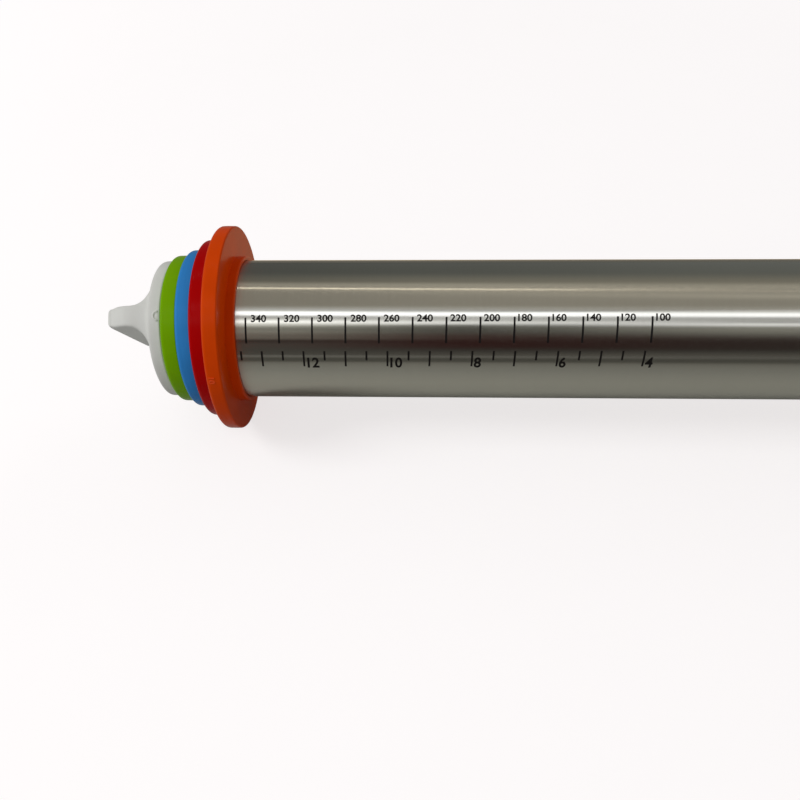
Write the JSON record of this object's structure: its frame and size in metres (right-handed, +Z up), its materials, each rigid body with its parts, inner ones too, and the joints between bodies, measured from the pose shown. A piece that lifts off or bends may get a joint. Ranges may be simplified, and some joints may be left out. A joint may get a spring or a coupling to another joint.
{
  "type": "adjustable rolling pin",
  "caption": "Steel rolling pin with nested coloured thickness rings on each end, clamped by a winged screw cap; the rings set how thick the dough is rolled.",
  "frame": {"origin": "middle of the tube, on its axis", "axes": "+X along the tube, towards the right-hand end; +Z up, away from the surface that the largest rings stand on; -Y towards the person who uses it"},
  "size_m": [0.4292, 0.0654, 0.0654],
  "materials": {
    "barrel_steel": "fine brushing round the tube",
    "plug_plastic": "plain moulded",
    "seal_rubber": "matt",
    "insert_brass": "turned",
    "orange_plastic": "gloss moulded",
    "red_plastic": "gloss moulded",
    "blue_plastic": "gloss moulded",
    "green_plastic": "gloss moulded",
    "washer_silicone": "matt",
    "white_plastic": "satin moulded",
    "stud_steel": "plated"
  },
  "bodies": {
    "barrel": {"barrel_tube": "barrel_steel", "left_end_plug": "plug_plastic", "right_end_plug": "plug_plastic", "left_plug_seal": "seal_rubber", "right_plug_seal": "seal_rubber", "left_thread_insert": "insert_brass", "right_thread_insert": "insert_brass"},
    "left_orange": {"left_orange_ring": "orange_plastic"},
    "left_red": {"left_red_ring": "red_plastic"},
    "left_blue": {"left_blue_ring": "blue_plastic"},
    "left_green": {"left_green_ring": "green_plastic"},
    "left_washer": {"left_cap_washer": "washer_silicone"},
    "left_cap": {"left_wing_cap": "white_plastic", "left_cap_stud": "stud_steel"},
    "right_orange": {"right_orange_ring": "orange_plastic"},
    "right_red": {"right_red_ring": "red_plastic"},
    "right_blue": {"right_blue_ring": "blue_plastic"},
    "right_green": {"right_green_ring": "green_plastic"},
    "right_washer": {"right_cap_washer": "washer_silicone"},
    "right_cap": {"right_wing_cap": "white_plastic", "right_cap_stud": "stud_steel"}
  },
  "joints": [
    {"name": "left_cap_slide", "type": "slide", "parent": "barrel", "child": "left_washer", "axis": [-1, 0, 0], "range_m": [0, 0.02175]},
    {"name": "left_cap_turn", "type": "hinge", "parent": "left_washer", "child": "left_cap", "pos_m": [-0.196, 0, 0], "axis": [-1, 0, 0], "range_deg": [0, 2610]},
    {"name": "left_orange_slide", "type": "slide", "parent": "barrel", "child": "left_orange", "axis": [-1, 0, 0], "range_m": [0, 0.00435]},
    {"name": "left_red_slide", "type": "slide", "parent": "barrel", "child": "left_red", "axis": [-1, 0, 0], "range_m": [0, 0.0087]},
    {"name": "left_blue_slide", "type": "slide", "parent": "barrel", "child": "left_blue", "axis": [-1, 0, 0], "range_m": [0, 0.01305]},
    {"name": "left_green_slide", "type": "slide", "parent": "barrel", "child": "left_green", "axis": [-1, 0, 0], "range_m": [0, 0.0174]},
    {"name": "right_cap_slide", "type": "slide", "parent": "barrel", "child": "right_washer", "axis": [1, 0, 0], "range_m": [0, 0.02175]},
    {"name": "right_cap_turn", "type": "hinge", "parent": "right_washer", "child": "right_cap", "pos_m": [0.196, 0, 0], "axis": [1, 0, 0], "range_deg": [0, 2610]},
    {"name": "right_orange_slide", "type": "slide", "parent": "barrel", "child": "right_orange", "axis": [1, 0, 0], "range_m": [0, 0.00435]},
    {"name": "right_red_slide", "type": "slide", "parent": "barrel", "child": "right_red", "axis": [1, 0, 0], "range_m": [0, 0.0087]},
    {"name": "right_blue_slide", "type": "slide", "parent": "barrel", "child": "right_blue", "axis": [1, 0, 0], "range_m": [0, 0.01305]},
    {"name": "right_green_slide", "type": "slide", "parent": "barrel", "child": "right_green", "axis": [1, 0, 0], "range_m": [0, 0.0174]}
  ],
  "couplings": [
    {"joint": "left_cap_turn", "follows": "left_cap_slide", "rad_per_m": 2094.4},
    {"joint": "left_orange_slide", "follows": "left_cap_slide", "ratio": 0.2},
    {"joint": "left_red_slide", "follows": "left_cap_slide", "ratio": 0.4},
    {"joint": "left_blue_slide", "follows": "left_cap_slide", "ratio": 0.6},
    {"joint": "left_green_slide", "follows": "left_cap_slide", "ratio": 0.8},
    {"joint": "right_cap_turn", "follows": "right_cap_slide", "rad_per_m": 2094.4},
    {"joint": "right_orange_slide", "follows": "right_cap_slide", "ratio": 0.2},
    {"joint": "right_red_slide", "follows": "right_cap_slide", "ratio": 0.4},
    {"joint": "right_blue_slide", "follows": "right_cap_slide", "ratio": 0.6},
    {"joint": "right_green_slide", "follows": "right_cap_slide", "ratio": 0.8}
  ]
}
